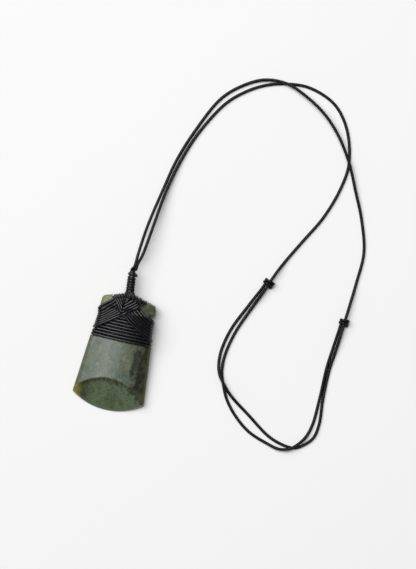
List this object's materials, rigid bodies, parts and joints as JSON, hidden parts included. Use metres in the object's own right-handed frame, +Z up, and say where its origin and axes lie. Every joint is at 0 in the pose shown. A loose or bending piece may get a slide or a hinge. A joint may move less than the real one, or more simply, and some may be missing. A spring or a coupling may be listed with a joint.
{
  "type": "adze pendant",
  "caption": "Flat adze-shaped greenstone pendant with a bevelled cutting edge, bound with black waxed cord under a whipped stem, on an adjustable neck cord with sliding knots.",
  "frame": {"origin": "on the floor, under the middle of the stone, its lashing and its stem", "axes": "+Y along the pendant from the cutting edge to the stem, +Z up out of its front as it lies face up, +X to the right seen from above"},
  "size_m": [0.11, 0.1555, 0.0121],
  "materials": {
    "greenstone": "satin",
    "lashing_cord": "waxed",
    "neck_cord": "waxed"
  },
  "bodies": {
    "root": {"adze_stone": "greenstone", "band_wraps": "lashing_cord", "cross_lashing": "lashing_cord", "stem_whipping": "lashing_cord", "neck_cord_a": "neck_cord", "neck_cord_b": "neck_cord", "sliding_knot_a": "neck_cord", "sliding_knot_b": "neck_cord"}
  },
  "joints": []
}
